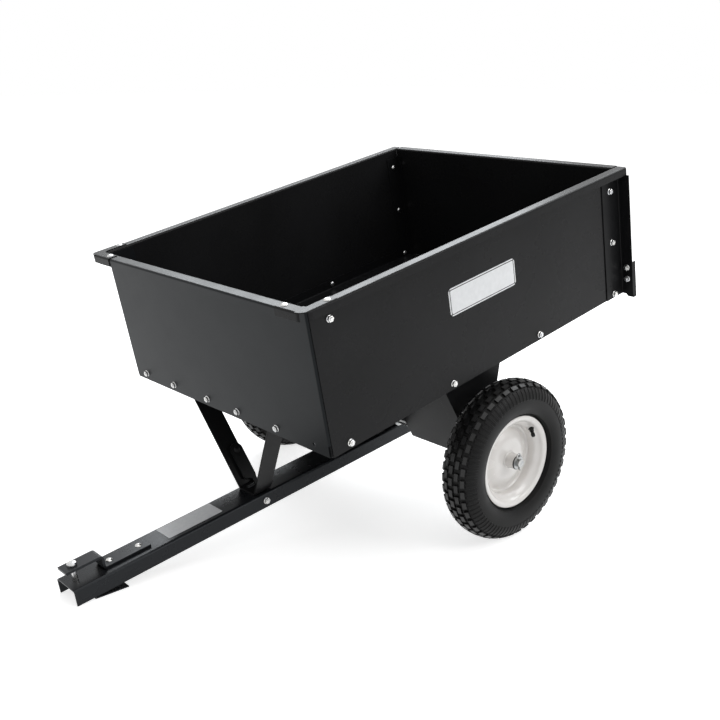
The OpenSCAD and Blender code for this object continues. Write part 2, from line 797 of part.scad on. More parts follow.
module tub_stand() {
    base_half = stand_base / 2;
    top_half = stand_top / 2;
    slot_x = lever_x0 / cos(leg_lean) - base_half;
    slot_w = (lever_t + stand_t) / cos(leg_lean) + stand_t;
    color("#232426") in_tub() difference() {
        along_y(-stand_y - stand_w / 2, -stand_y + stand_w / 2)
            sheet([
                [-top_half + stand_foot, stand_top_z],
                [-top_half, stand_top_z],
                [-base_half, stand_base_z],
                [base_half, stand_base_z],
                [top_half, stand_top_z],
                [top_half - stand_foot, stand_top_z]
            ], stand_bend, -stand_t / 2, stand_t / 2);
        for (way = [-1, 1])
            rod_z(hole_d, stand_top_z - stand_t, floor_lift + overrun, way * stand_foot_x, -stand_y);
        // Notch for the lever's hook, open to the rear
        block([slot_x - stand_t / 2, -stand_y + hook_front - hook_lip - hook_w, stand_base_z - stand_t],
              [slot_x + slot_w, -stand_y + stand_w, stand_base_z + stand_t]);
        in_leg() rod_x(hole_d, -stand_t, stand_t, lever_mid);
    }
}

// A flat lever with a rounded top and a hook that passes through the tongue
module latch_lever() {
    neck_front = hook_front + hook_lip;
    neck_rear = neck_front + hook_w;
    shoulder_z = neck_end - neck_lean_share * lever_w;
    color("#1d1d20") in_tub() in_leg() difference() {
        union() {
            rod_x(lever_w, lever_x0, lever_x0 + lever_t, lever_mid);
            along_x(lever_x0, lever_x0 + lever_t)
                polygon([
                    [lever_rear - lever_w, 0],
                    [lever_rear - lever_w, neck_end],
                    [neck_front, shoulder_z],
                    [neck_front, hook_top],
                    [hook_front, hook_top],
                    [hook_front, hook_end],
                    [neck_rear, hook_end],
                    [neck_rear, shoulder_z],
                    [lever_rear, neck_end],
                    [lever_rear, 0]
                ]);
        }
        rod_x(bolt_d + 2 * bush_clear, lever_x0 - overrun, lever_x0 + lever_t + overrun, lever_mid);
    }
}

module lever_pivot_bolt() {
    color("silver") in_tub() in_leg()
        translate([lever_x0 + lever_t + run_gap, lever_mid, 0])
            rotate([0, -90, 0])
                bolt(lever_x0 + lever_t + run_gap + stand_t / 2);
}

module lever_spacer() {
    color("silver") in_tub() in_leg() difference() {
        rod_x(head_d, stand_t / 2, lever_x0 - run_gap, lever_mid);
        rod_x(hole_d, 0, lever_x0, lever_mid);
    }
}

// The last hole stays open
module front_bolts() {
    xs = front_bolt_xs();
    color("silver") in_tub()
        for (i = [0 : len(xs) - 2])
            translate([xs[i], yf + 2 * tub_t, front_bolt_z])
                point_front()
                    bolt(2 * tub_t);
}

module side_bolts() {
    color("silver") in_tub() {
        for (y = side_bolt_ys())
            translate([hw - 2 * tub_t, y, tub_bolt_z])
                point_x()
                    bolt(2 * tub_t);
        translate([hw - 2 * tub_t, side_bolt_ys()[0], return_bolt_z])
            point_x()
                bolt(2 * tub_t);
    }
}

module left_side_bolts() { side_bolts(); }
module right_side_bolts() { right() side_bolts(); }

module post_bolts() {
    color("silver") in_tub()
        for (z = post_bolt_zs())
            translate([hw - tub_t - guide_t, post_bolt_y, z])
                point_x()
                    bolt(guide_t + tub_t + post_t);
}

module left_post_bolts() { post_bolts(); }
module right_post_bolts() { right() post_bolts(); }

module clip_bolts() {
    color("silver") in_tub()
        for (way = [-1, 1], z = clip_bolt_zs())
            translate([way * clip_bolt_x, yr + post_t, z])
                point_front()
                    bolt(2 * post_t);
}

module corner_bolts() {
    color("silver") in_tub()
        for (way = [-1, 1], spot = [[corner_bolt_x, corner_bolt_y], [plate_bolt_x, plate_bolt_y]])
            translate([way * spot[0], spot[1], plate_top])
                point_down()
                    bolt(2 * tub_t);
}

module bracket_bolts() {
    color("silver") in_tub()
        for (way = [-1, 1], x = bracket_bolt_xs, y = [-1, 1])
            translate([way * x, y * bracket_bolt_y, floor_top])
                point_down()
                    bolt(tub_t + bracket_t);
}

module stand_bolts() {
    color("silver") in_tub()
        for (way = [-1, 1])
            translate([way * stand_foot_x, -stand_y, floor_top])
                point_down()
                    bolt(tub_t + stand_t);
}

// Roundness of the tyre's section across the tread and down the sidewalls
tyre_round_shares = [0.92, 0.82];
// Angles round the tyre's section, outside and inside, and the steps along them
tyre_arc = [-35, 215];
cavity_arc = [-10, 190];
tyre_steps = 36;

function rounded(v, share) = sign(v) * pow(abs(v), share);

// Outline of the tyre's section as a rounded bulge between the beads and the tread
function tyre_section(half, low, high, arc, steps) =
    [for (k = [0 : steps])
        let (a = arc[0] + (arc[1] - arc[0]) * k / steps)
        [(low + high) / 2 + (high - low) / 2 * rounded(sin(a), tyre_round_shares[0]),
         half * rounded(cos(a), tyre_round_shares[1])]];

module tyre() {
    half = tyre_w / 2;
    bead_x = rim_w / 2 - 2 * rim_t;
    heel_r = rim_r + rim_t;
    groove_x = half * tread_row_shares[2] / 2;
    color("#1b1b1c") in_wheel() difference() {
        rotate_extrude($fn = 96)
            difference() {
                polygon(concat(
                    [[bead_r, bead_x], [heel_r, bead_x]],
                    tyre_section(half, bead_r + rim_t, wheel_r, tyre_arc, tyre_steps),
                    [[heel_r, -bead_x], [bead_r, -bead_x]]));
                polygon(concat(
                    [[bead_r - overrun, bead_x - tyre_wall], [heel_r + tyre_wall, bead_x - tyre_wall]],
                    tyre_section(half - tyre_wall, bead_r, tread_r - tyre_wall, cavity_arc, tyre_steps),
                    [[heel_r + tyre_wall, -bead_x + tyre_wall], [bead_r - overrun, -bead_x + tyre_wall]]));
                for (way = [-1, 1])
                    translate([tread_r, way * groove_x - tread_groove / 2])
                        square([2 * tread_depth, tread_groove]);
            }
        for (row = [0 : len(tread_row_shares) - 1], k = [0 : tread_blocks - 1])
            rotate([0, 0, 360 * (k + row * row_stagger_share) / tread_blocks])
                translate([tread_r, -tread_slot / 2, half * tread_row_shares[row] - groove_x])
                    cube([2 * tread_depth, tread_slot, 2 * groove_x]);
    }
}

module left_tyre() { tyre(); }
module right_tyre() { right() tyre(); }

// The rim and its dished disc, pressed from sheet and welded
module rim() {
    half = rim_w / 2;
    color("#e9e6dc") in_wheel() difference() {
        rotate_extrude($fn = 96) {
            sheet([
                [rim_r, half - rim_t / 2],
                [bead_r - rim_t / 2, half - rim_t],
                [bead_r - rim_t / 2, seat_x],
                [well_r, well_x],
                [well_r, -well_x],
                [bead_r - rim_t / 2, -seat_x],
                [bead_r - rim_t / 2, -half + rim_t],
                [rim_r, -half + rim_t / 2]
            ], rim_t, -rim_t / 2, rim_t / 2);
            sheet([
                [well_r, -disc_x],
                [well_r - 3 * rim_t, -disc_x],
                [disc_r, disc_x],
                [hub_d / 2, disc_x]
            ], rim_t * 2, -rim_t / 2, rim_t / 2);
        }
        at_valve()
            rod_z(valve_d + 2 * bolt_clear, -2 * rim_t, 2 * rim_t);
    }
}

module left_rim() { rim(); }
module right_rim() { right() rim(); }

module hub() {
    color("#dedbd0") in_wheel() difference() {
        cylinder(d = hub_d, h = hub_l, center = true);
        cylinder(d = bush_d, h = hub_l + overrun, center = true);
    }
}

module left_hub() { hub(); }
module right_hub() { right() hub(); }

module bushes() {
    color("#3a3a3c") in_wheel()
        for (way = [0, 180])
            rotate([way, 0, 0])
                difference() {
                    union() {
                        rod_z(bush_d, hub_l / 2 - bush_l, hub_l / 2);
                        rod_z(hub_d, hub_l / 2, hub_l / 2 + bush_flange);
                    }
                    rod_z(axle_d + 2 * bush_clear, 0, hub_l / 2 + bush_flange + overrun);
                }
}

module left_bushes() { bushes(); }
module right_bushes() { right() bushes(); }

module valve() {
    neck_r = valve_d * valve_neck_share;
    cap_r = valve_d * valve_cap_share;
    color("#151515") in_wheel() at_valve()
        rotate_extrude()
            polygon([
                [0, -rim_t],
                [valve_d / 2, -rim_t],
                [valve_d / 2, valve_l * valve_step_shares[0]],
                [neck_r, valve_l * valve_step_shares[1]],
                [neck_r, valve_l * valve_step_shares[2]],
                [cap_r, valve_l * valve_step_shares[2]],
                [cap_r, valve_l],
                [0, valve_l]
            ]);
}

module left_valve() { valve(); }
module right_valve() { right() valve(); }

// Places along the tongue, in its own frame
hitch_web_y = -tongue_front + hitch_nose;
hitch_rear = hitch_web_y + hitch_tail;
hitch_bolt_mid = hitch_rear - hitch_tail / 2;
hitch_bolt_ys = [hitch_bolt_mid + hitch_pitch / 2, hitch_bolt_mid - hitch_pitch / 2];
pin_y = -tongue_front + pin_setback;
pivot_bolt_y = pivot_l / 2 - bolt_edge;
pivot_bolt_x = pivot_w / 2 - pivot_t - nut_d * ear_bolt_share;
foot_half = tongue_w / 2 - tongue_t;

module tongue_channel() {
    x = tongue_w / 2 - tongue_t / 2;
    z = -tongue_drop - tongue_t / 2;
    color("#2b2d31") in_tongue() difference() {
        along_y(-tongue_front, tongue_rear)
            sheet([
                [-x, -tongue_low],
                [-x, z],
                [x, z],
                [x, -tongue_low]
            ], tongue_bend, -tongue_t / 2, tongue_t / 2);
        for (y = hitch_bolt_ys)
            rod_z(hole_d, -tongue_drop - tongue_t - overrun, -tongue_drop + overrun, 0, y);
        rod_z(pin_d + 2 * bolt_clear, -tongue_drop - tongue_t - overrun, -tongue_drop + overrun, 0, pin_y);
        for (way = [-1, 1], y = [-1, 1])
            translate([way * pivot_bolt_x, y * pivot_bolt_y, 0])
                rod_z(hole_d, -tongue_drop - tongue_t - overrun, -tongue_drop + overrun);
        rod_x(latch_d + 2 * bolt_clear, -tongue_w, tongue_w, latch_y, latch_z);
        // Window that the lever's hook passes through
        block([-stand_base / 2 + lever_gap, latch_y - latch_d, -tongue_drop - tongue_t - overrun],
              [hook_reach + lever_gap / 2, latch_y + stand_w, -tongue_drop + overrun]);
    }
}

// A saddle on the tongue's top, with two ears round the axle
module tongue_pivot_bracket() {
    ear_d = 2 * tongue_drop - run_gap;
    ear_flat = ear_d * ear_flat_share;
    ear_mid = (pivot_w - pivot_t) / 2;
    color("#2a2b2e") in_tongue() difference() {
        union() {
            block([-pivot_w / 2, -pivot_l / 2, -tongue_drop],
                  [pivot_w / 2, pivot_l / 2, -tongue_drop + pivot_t]);
            for (way = [-1, 1])
                along_x(way * ear_mid - pivot_t / 2, way * ear_mid + pivot_t / 2) {
                    circle(d = ear_d);
                    polygon([
                        [-pivot_l / 2, -tongue_drop],
                        [pivot_l / 2, -tongue_drop],
                        [pivot_l / 2, -tongue_drop + 2 * pivot_t],
                        [ear_flat, ear_flat],
                        [-ear_flat, ear_flat],
                        [-pivot_l / 2, -tongue_drop + 2 * pivot_t]
                    ]);
                }
        }
        rod_x(axle_d + 2 * bush_clear, -pivot_w, pivot_w);
        for (way = [-1, 1], y = [-1, 1])
            translate([way * pivot_bolt_x, y * pivot_bolt_y, 0])
                rod_z(hole_d, -tongue_drop - overrun, -tongue_drop + pivot_t + overrun);
    }
}

module pivot_bracket_bolts() {
    color("silver") in_tongue()
        for (way = [-1, 1], y = [-1, 1])
            translate([way * pivot_bolt_x, y * pivot_bolt_y, -tongue_drop + pivot_t])
                point_down()
                    bolt(pivot_t + tongue_t);
}

module latch_bolt() {
    color("silver") in_tongue()
        translate([-tongue_w / 2, latch_y, latch_z])
            point_x()
                bolt(tongue_w, latch_d);
}

// A strap stepped up at its front into the upper jaw of the hitch
module hitch_strap() {
    low = -tongue_drop + hitch_t / 2;
    high = low + hitch_gap;
    color("#242528") in_tongue() difference() {
        along_x(-hitch_w / 2, hitch_w / 2)
            sheet([
                [-tongue_front, high],
                [hitch_web_y, high],
                [hitch_web_y, low],
                [hitch_rear, low]
            ], hitch_t * strap_bend_share, -hitch_t / 2, hitch_t / 2);
        for (y = hitch_bolt_ys)
            rod_z(hole_d, -tongue_drop - overrun, -tongue_drop + hitch_t + overrun, 0, y);
        rod_z(pin_d + 2 * bolt_clear, high - hitch_t, high + hitch_t, 0, pin_y);
    }
}

module hitch_bolts() {
    color("silver") in_tongue()
        for (y = hitch_bolt_ys)
            translate([0, y, -tongue_drop + hitch_t])
                point_down()
                    bolt(hitch_t + tongue_t);
}

module hitch_pin() {
    seat = -tongue_drop + hitch_gap + hitch_t;
    color("silver") in_tongue() {
        rod_z(pin_d, seat - pin_l, seat, 0, pin_y);
        rod_z(pin_d * pin_head_shares[0], seat, seat + pin_d * pin_head_shares[1], 0, pin_y);
        translate([0, pin_y, seat - pin_l])
            mirror([0, 0, 1])
                cylinder(d1 = pin_d, d2 = pin_d * pin_head_shares[1], h = pin_d * pin_head_shares[2]);
    }
}

// An angle plate welded between the tongue's walls, flat on the ground
module tongue_foot() {
    ground_y = axle_y - tongue_front * cos(tongue_pitch) + tongue_low * sin(tongue_pitch);
    front = ground_y + foot_start;
    color("#232326")
        along_x(-foot_half, foot_half)
            sheet([
                [front + foot_t / 2, foot_h],
                [front + foot_t / 2, foot_t / 2],
                [front + foot_l, foot_t / 2]
            ], foot_t * thick_bend_share, -foot_t / 2, foot_t / 2);
}

floor_pan();
front_panel();
left_side_panel();
right_side_panel();
left_corner_plate();
right_corner_plate();
left_tailgate_post();
right_tailgate_post();
left_tailgate_clip();
right_tailgate_clip();
left_tailgate_guide();
right_tailgate_guide();
tailgate_panel();
left_axle_bracket();
right_axle_bracket();
left_bracket_cap();
right_bracket_cap();
axle();
axle_collars();
left_axle_spacer();
right_axle_spacer();
left_axle_washer();
right_axle_washer();
left_split_pin();
right_split_pin();
tub_stand();
latch_lever();
lever_pivot_bolt();
lever_spacer();
front_bolts();
left_side_bolts();
right_side_bolts();
left_post_bolts();
right_post_bolts();
clip_bolts();
corner_bolts();
bracket_bolts();
stand_bolts();
left_tyre();
right_tyre();
left_rim();
right_rim();
left_hub();
right_hub();
left_bushes();
right_bushes();
left_valve();
right_valve();
tongue_channel();
tongue_pivot_bracket();
pivot_bracket_bolts();
latch_bolt();
hitch_strap();
hitch_bolts();
hitch_pin();
tongue_foot();
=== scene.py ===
import json
import math
import bmesh
import bpy
from mathutils import Matrix, Vector

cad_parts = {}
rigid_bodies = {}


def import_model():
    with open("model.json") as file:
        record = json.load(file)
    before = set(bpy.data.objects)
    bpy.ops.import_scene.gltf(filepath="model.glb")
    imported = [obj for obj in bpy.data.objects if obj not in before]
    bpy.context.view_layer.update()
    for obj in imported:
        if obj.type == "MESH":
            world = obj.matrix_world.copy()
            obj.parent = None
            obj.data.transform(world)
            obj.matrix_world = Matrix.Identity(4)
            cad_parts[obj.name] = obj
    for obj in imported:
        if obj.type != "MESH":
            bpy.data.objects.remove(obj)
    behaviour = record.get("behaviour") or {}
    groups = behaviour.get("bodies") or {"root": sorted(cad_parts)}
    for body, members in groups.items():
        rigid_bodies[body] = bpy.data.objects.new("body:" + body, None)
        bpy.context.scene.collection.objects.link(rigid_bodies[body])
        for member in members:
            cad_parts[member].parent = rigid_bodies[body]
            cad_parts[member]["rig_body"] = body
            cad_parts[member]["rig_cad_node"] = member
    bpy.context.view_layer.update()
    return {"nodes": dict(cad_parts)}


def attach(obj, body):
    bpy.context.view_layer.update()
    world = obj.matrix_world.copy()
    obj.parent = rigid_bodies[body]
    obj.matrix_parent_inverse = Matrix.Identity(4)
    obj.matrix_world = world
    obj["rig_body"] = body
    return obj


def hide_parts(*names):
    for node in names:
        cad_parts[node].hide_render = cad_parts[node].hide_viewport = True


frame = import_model()
print("frame loaded:", len(frame["nodes"]), "nodes")

# where the axle is, and how far the tub and the tongue lean on it
cart = {"axle": (0, 0.234374, 0.200), "tubPitch": 11.3072, "tonguePitch": 8.60724, "track": 0.842}


def leaning(pitch):
    return Matrix.Translation(cart["axle"]) @ Matrix.Rotation(math.radians(pitch), 4, "X")


def shifted(place):
    return Matrix.Translation([0.001 * v for v in place])   # places on the cart are in millimetres


tubFrame = leaning(cart["tubPitch"])
tongueFrame = leaning(cart["tonguePitch"])
nearAxis = 0.02   # outlines of turned pieces stop this short of the axis, in millimetres
tipGap = 0.00003   # and their tips are merged over this gap, in metres


# selecting and finishing by hand

def clearSelection():
    if bpy.context.mode != "OBJECT":
        bpy.ops.object.mode_set(mode="OBJECT")
    bpy.ops.object.select_all(action="DESELECT")


def pick(*objs):
    clearSelection()
    for obj in objs:
        obj.select_set(True)
    bpy.context.view_layer.objects.active = objs[0]


def openMesh(obj, mode="FACE", everything=False):
    pick(obj)
    bpy.ops.object.mode_set(mode="EDIT")
    bpy.ops.mesh.select_mode(type=mode)
    bpy.ops.mesh.select_all(action="SELECT" if everything else "DESELECT")


def closeMesh():
    bpy.ops.object.mode_set(mode="OBJECT")


def selectFaces(obj, test):
    bpy.ops.mesh.select_mode(type="FACE")
    bpy.ops.mesh.select_all(action="DESELECT")
    mesh = bmesh.from_edit_mesh(obj.data)
    for face in mesh.faces:
        if test(face.calc_center_median(), face.normal):
            face.select_set(True)
    bmesh.update_edit_mesh(obj.data)


def selectEdges(obj, test):
    bpy.ops.mesh.select_mode(type="EDGE")
    bpy.ops.mesh.select_all(action="DESELECT")
    mesh = bmesh.from_edit_mesh(obj.data)
    for edge in mesh.edges:
        if test(edge.verts[0].co, edge.verts[1].co):
            edge.select_set(True)
    bmesh.update_edit_mesh(obj.data)


def modify(obj, kind, **settings):
    pick(obj)
    modifier = obj.modifiers.new(kind.title(), kind)
    for key, value in settings.items():
        setattr(modifier, key, value)
    bpy.ops.object.modifier_apply(modifier=modifier.name)


def smooth(obj, angle=35):
    pick(obj)
    bpy.ops.object.shade_smooth_by_angle(angle=math.radians(angle))


def settle(obj, place):
    obj.matrix_world = place @ obj.matrix_world
    pick(obj)
    bpy.ops.object.transform_apply(location=True, rotation=True, scale=True)
    if place.determinant() < 0:
        openMesh(obj, everything=True)
        bpy.ops.mesh.normals_make_consistent(inside=False)
        closeMesh()


# closes the tips of a turned piece and turns its faces outwards
def sealed(obj, distance):
    openMesh(obj, everything=True)
    bpy.ops.mesh.remove_doubles(threshold=distance)
    bpy.ops.mesh.normals_make_consistent(inside=False)
    closeMesh()


def copyOf(obj):
    pick(obj)
    bpy.ops.object.duplicate(linked=False)
    return bpy.context.object


def joined(objs, name):
    pick(*objs)
    if len(objs) > 1:
        bpy.ops.object.join()
    objs[0].name = name
    objs[0].data.name = name
    return objs[0]


def hand(obj, name, body, materials, nodes=()):
    obj.name = name
    obj.data.name = name
    if materials:
        obj.data.materials.clear()
        for material in materials:
            obj.data.materials.append(material)
    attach(obj, body)
    if nodes:
        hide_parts(*nodes)
    return obj


# a plane is merged to one point and drawn out along the outline
def drawOutline(outline, name):
    clearSelection()
    bpy.ops.mesh.primitive_plane_add(size=0.002, location=outline[0])
    obj = bpy.context.object
    obj.name = name
    bpy.ops.object.transform_apply(location=True, rotation=True, scale=True)
    openMesh(obj, "VERT", everything=True)
    bpy.ops.mesh.merge(type="CENTER")
    for here, there in zip(outline, outline[1:]):
        stride = Vector(there) - Vector(here)
        bpy.ops.mesh.extrude_region_move(TRANSFORM_OT_translate={"value": stride})
    return obj


# outline points are (along the turning axis, radius), both in millimetres
def turned(points, name, steps=64, closed=False):
    outline = [(0.001 * along, 0, 0.001 * radius) for along, radius in points]
    if closed:
        outline.append(outline[0])
    obj = drawOutline(outline, name)
    bpy.ops.mesh.select_all(action="SELECT")
    bpy.ops.mesh.remove_doubles(threshold=1e-6)
    bpy.ops.mesh.select_all(action="SELECT")
    bpy.ops.mesh.spin(steps=steps, angle=2 * math.pi, center=(0, 0, 0), axis=(1, 0, 0))
    bpy.ops.mesh.select_all(action="SELECT")
    bpy.ops.mesh.remove_doubles(threshold=1e-6)
    bpy.ops.mesh.normals_make_consistent(inside=False)
    closeMesh()
    return obj


# finishes

def wire(tree, source, output, target, socket):
    tree.links.new(source.outputs[output], target.inputs[socket])


def blankMaterial(name):
    material = bpy.data.materials.new(name)
    material.use_nodes = True
    tree = material.node_tree
    coords = tree.nodes.new("ShaderNodeTexCoord")
    return material, tree, tree.nodes["Principled BSDF"], coords


def noise(tree, coords, scale, detail=3, roughness=0.5):
    texture = tree.nodes.new("ShaderNodeTexNoise")
    texture.inputs["Scale"].default_value = scale
    texture.inputs["Detail"].default_value = detail
    texture.inputs["Roughness"].default_value = roughness
    wire(tree, coords, "Object", texture, "Vector")
    return texture


def ramp(tree, source, output, low, high, lowColour, highColour):
    colours = tree.nodes.new("ShaderNodeValToRGB")
    colours.color_ramp.elements[0].position = low
    colours.color_ramp.elements[1].position = high
    colours.color_ramp.elements[0].color = (*lowColour, 1)
    colours.color_ramp.elements[1].color = (*highColour, 1)
    wire(tree, source, output, colours, "Fac")
    return colours


def spread(tree, source, output, low, high):
    mapped = tree.nodes.new("ShaderNodeMapRange")
    mapped.inputs["From Min"].default_value = 0.3
    mapped.inputs["From Max"].default_value = 0.7
    mapped.inputs["To Min"].default_value = low
    mapped.inputs["To Max"].default_value = high
    wire(tree, source, output, mapped, "Value")
    return mapped


def bumped(tree, shader, source, output, distance, strength):
    bump = tree.nodes.new("ShaderNodeBump")
    bump.inputs["Distance"].default_value = distance
    bump.inputs["Strength"].default_value = strength
    wire(tree, source, output, bump, "Height")
    wire(tree, bump, "Normal", shader, "Normal")
    return bump


# baked powder coat: faint cloudy patches, orange peel, a little uneven gloss
def powderCoat(name, dark, light, gloss, shine=0.12, tint=(1, 1, 1)):
    material, tree, shader, coords = blankMaterial(name)
    clouds = noise(tree, coords, 5, 4)
    wire(tree, ramp(tree, clouds, "Fac", 0.3, 0.72, dark, light), "Color", shader, "Base Color")
    wipes = noise(tree, coords, 11, 5, 0.6)
    wire(tree, spread(tree, wipes, "Fac", gloss - 0.035, gloss + 0.045), "Result", shader, "Roughness")
    peel = noise(tree, coords, 620, 2)
    bumped(tree, shader, peel, "Fac", 0.0003, 0.06)
    shader.inputs["Specular IOR Level"].default_value = shine
    shader.inputs["Specular Tint"].default_value = (*tint, 1)
    return material


# bright zinc plate: slightly blue and straw patches, fine tumbling marks
def zincPlate(name, rough, dark, light):
    material, tree, shader, coords = blankMaterial(name)
    stains = noise(tree, coords, 60, 4)
    wire(tree, ramp(tree, stains, "Fac", 0.32, 0.68, dark, light), "Color", shader, "Base Color")
    marks = noise(tree, coords, 900, 3)
    wire(tree, spread(tree, marks, "Fac", rough - 0.06, rough + 0.1), "Result", shader, "Roughness")
    bumped(tree, shader, marks, "Fac", 0.0002, 0.12)
    shader.inputs["Metallic"].default_value = 1.0
    return material


def rimEnamel(name):
    material, tree, shader, coords = blankMaterial(name)
    clouds = noise(tree, coords, 14, 3)
    wire(tree, ramp(tree, clouds, "Fac", 0.3, 0.7, (0.75, 0.726, 0.70), (0.81, 0.785, 0.76)), "Color",
         shader, "Base Color")
    wire(tree, spread(tree, clouds, "Fac", 0.2, 0.28), "Result", shader, "Roughness")
    peel = noise(tree, coords, 420, 2)
    bumped(tree, shader, peel, "Fac", 0.0003, 0.05)
    shader.inputs["Coat Weight"].default_value = 0.5
    shader.inputs["Coat Roughness"].default_value = 0.06
    return material


def tyreRubber(name, dark, light, rough, shine=0.2):
    material, tree, shader, coords = blankMaterial(name)
    bloom = noise(tree, coords, 22, 5, 0.6)
    wire(tree, ramp(tree, bloom, "Fac", 0.32, 0.7, dark, light), "Color", shader, "Base Color")
    wire(tree, spread(tree, bloom, "Fac", rough - 0.06, rough + 0.1), "Result", shader, "Roughness")
    grain = noise(tree, coords, 1100, 3)
    bumped(tree, shader, grain, "Fac", 0.0003, 0.25)
    shader.inputs["Specular IOR Level"].default_value = shine
    return material


def plateFilm(name, low, high, rough):
    material, tree, shader, coords = blankMaterial(name)
    fibres = noise(tree, coords, 90, 4)
    wire(tree, ramp(tree, fibres, "Fac", 0.3, 0.7, low, high), "Color", shader, "Base Color")
    wire(tree, spread(tree, fibres, "Fac", rough - 0.05, rough + 0.05), "Result", shader, "Roughness")
    bumped(tree, shader, fibres, "Fac", 0.0001, 0.08)
    return material


frontPaint = powderCoat("slate black front coat", (0.0075, 0.0082, 0.0092), (0.0105, 0.0112, 0.0122), 0.32,
                        tint=(0.88, 0.96, 1.0))
sidePaint = powderCoat("black side coat", (0.0090, 0.0090, 0.0094), (0.0126, 0.0126, 0.0132), 0.27, 0.09)
framePaint = powderCoat("black frame coat", (0.0080, 0.0081, 0.0086), (0.0112, 0.0114, 0.0122), 0.30, 0.07)
tonguePaint = powderCoat("blue black tongue coat", (0.0070, 0.0076, 0.0090), (0.0100, 0.0108, 0.0125), 0.27, 0.24,
                         (0.90, 0.95, 1.0))
boltZinc = zincPlate("bright zinc bolts", 0.24, (0.50, 0.51, 0.53), (0.72, 0.71, 0.68))
axleZinc = zincPlate("dull zinc axle", 0.32, (0.24, 0.25, 0.26), (0.44, 0.44, 0.43))
boltBlack = powderCoat("blackened bolt", (0.012, 0.012, 0.013), (0.020, 0.020, 0.021), 0.32)
wheelEnamel = rimEnamel("cream wheel enamel")
treadRubber = tyreRubber("black tyre rubber", (0.0038, 0.0038, 0.0040), (0.0078, 0.0077, 0.0075), 0.44, 0.14)
# block tops: lower roughness and more specular for the moulded gloss, plus a slightly lighter base colour as painted
# highlight
blockGlossAndPaintedHighlight = tyreRubber("moulded tread rubber with painted highlight", (0.0046, 0.0046, 0.0048), (0.0092, 0.0091, 0.0089), 0.32, 0.36)
valveRubber = tyreRubber("black valve rubber", (0.006, 0.006, 0.006), (0.010, 0.010, 0.010), 0.42)
bushPlastic = tyreRubber("dark bush plastic", (0.02, 0.02, 0.021), (0.032, 0.032, 0.033), 0.38)
plateSilver = plateFilm("bare silver plate", (0.76, 0.77, 0.78), (0.82, 0.83, 0.84), 0.34)
plateBorder = plateFilm("plate's dark border", (0.010, 0.010, 0.011), (0.016, 0.016, 0.017), 0.36)
stickerPale = plateFilm("bare pale sticker", (0.62, 0.63, 0.65), (0.70, 0.71, 0.72), 0.42)
print("finishes made:", len(bpy.data.materials))


# folded sheet and strap: a copy of the solid, merged, with its edges eased

sheetWork = {
    "edge": 0.0006,
    "front": ["front_panel"],
    "sides": ["left_side_panel", "right_side_panel", "left_corner_plate", "right_corner_plate"],
    "tub": [
        "floor_pan", "left_tailgate_post", "right_tailgate_post", "left_tailgate_clip", "right_tailgate_clip",
        "left_tailgate_guide", "right_tailgate_guide", "left_axle_bracket", "right_axle_bracket",
        "left_bracket_cap", "right_bracket_cap", "tub_stand"
    ],
    "tailgate": ["tailgate_panel"],
    "latch_lever": ["latch_lever"],
    "tongue": ["tongue_channel", "tongue_pivot_bracket", "hitch_strap", "tongue_foot"],
}


def easedCopy(node, body, material, edge, angle=32):
    obj = copyOf(frame["nodes"][node])
    pick(obj)
    bpy.ops.object.parent_clear(type="CLEAR_KEEP_TRANSFORM")
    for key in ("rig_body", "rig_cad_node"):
        if key in obj:
            del obj[key]
    openMesh(obj, "VERT", everything=True)
    bpy.ops.mesh.remove_doubles(threshold=2e-6)
    bpy.ops.mesh.select_all(action="SELECT")
    bpy.ops.mesh.dissolve_limited(angle_limit=math.radians(0.4))
    closeMesh()
    modify(obj, "BEVEL", width=edge, segments=2, limit_method="ANGLE", angle_limit=math.radians(angle),
           use_clamp_overlap=True, harden_normals=False)
    smooth(obj, 40)
    modify(obj, "WEIGHTED_NORMAL", keep_sharp=True, weight=80)
    return hand(obj, node + "_eased", body, [material], [node])


for group, body, material in (
    ("front", "tub", frontPaint), ("sides", "tub", sidePaint), ("tub", "tub", framePaint),
    ("tailgate", "tailgate", sidePaint), ("latch_lever", "latch_lever", framePaint),
    ("tongue", "tongue", tonguePaint)
):
    for node in sheetWork[group]:
        easedCopy(node, body, material, sheetWork["edge"])
print("sheet and strap eased")


# tyres: a carcass turned round the axle, its blocks raised by insets

tyre = {
    "half": 47.5, "tread": 200, "blockHeight": 5, "bead": 101.5, "beadHalf": 26.8, "heel": 118.6,
    "low": 104.1, "roundUp": 0.92, "roundOut": 0.82, "blocks": 42, "stepsPerBlock": 6, "slotSteps": 2,
    "rows": [(-6.2, 6.2), (9.4, 20.4), (23.4, 33.0)],   # across the crown, from the middle
    "rowTurn": [0, 3, 0], "rowsAbove": 170, "blockSlope": 0.8, "blockShare": 0.2,
    "ribs": (157.5, 184.5), "ribFoot": 33.5, "ribSteps": 3, "ribHeight": 1.4, "ribSlope": 1.2, "ribTurn": 1,
    "wallAngles": (48, 41, 33, 24, 16, 9.5, 4, 0, -5, -10, -16, -22, -28, -34),
    "beadRib": [(41.0, 126.5), (40.2, 125.2), (39.2, 124.6), (37.2, 122.4)], "heelOut": (31.5, 0.6),
}


def crownRadius(x):
    side = (abs(x) / tyre["half"]) ** (1 / tyre["roundOut"])
    reach = (tyre["tread"] - tyre["blockHeight"] - tyre["low"]) / 2
    return tyre["low"] + reach + reach * math.sqrt(max(0, 1 - side * side)) ** tyre["roundUp"]


def wallPoint(angle):
    reach = (tyre["tread"] - tyre["blockHeight"] - tyre["low"]) / 2
    up = math.sin(math.radians(angle))
    out = math.cos(math.radians(angle))
    rise = math.copysign(abs(up) ** tyre["roundUp"], up)
    return tyre["half"] * out ** tyre["roundOut"], tyre["low"] + reach + reach * rise


